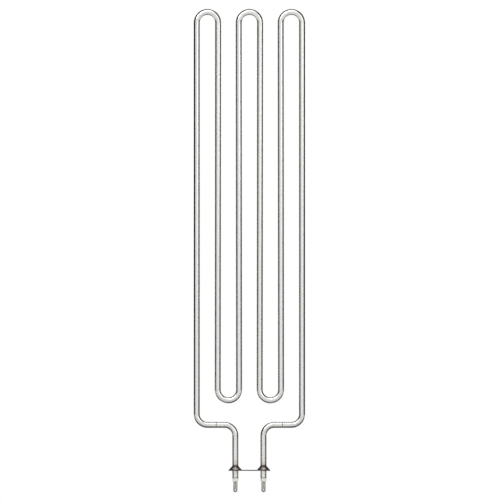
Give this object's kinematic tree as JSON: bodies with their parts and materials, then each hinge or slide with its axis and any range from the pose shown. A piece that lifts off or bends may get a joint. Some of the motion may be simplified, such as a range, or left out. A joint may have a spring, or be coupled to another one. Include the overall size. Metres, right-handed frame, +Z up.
{
  "type": "tubular heating element",
  "caption": "Steel-sheathed heating rod bent into tall flat loops, with both ends brazed through a small pressed flange and ending in ceramic beads and flat push-on terminals.",
  "frame": {"origin": "middle of the flange's lower face, on the axis of its screw hole", "axes": "+Z up along the loops, away from the terminals; X across the loops and both legs; Y through the flat element, with the blades facing -Y"},
  "size_m": [0.1582, 0.0194, 0.6873],
  "materials": {
    "sheath_steel": "satin",
    "flange_steel": "satin",
    "braze": "satin",
    "steatite": "matte",
    "blade_steel": "satin",
    "pin_steel": "satin",
    "resistance_wire": "matte",
    "magnesia": "matte",
    "seal_resin": "matte"
  },
  "bodies": {
    "root": {"ceramic_bead_left": "steatite", "ceramic_bead_right": "steatite", "sheath": "sheath_steel", "resistance_coil": "resistance_wire", "magnesia_fill": "magnesia", "terminal_pin_left": "pin_steel", "terminal_pin_right": "pin_steel", "end_seal_left": "seal_resin", "end_seal_right": "seal_resin", "mounting_flange": "flange_steel", "braze_ring_left": "braze", "braze_ring_right": "braze", "tab_terminal_left": "blade_steel", "tab_terminal_right": "blade_steel"}
  },
  "joints": []
}
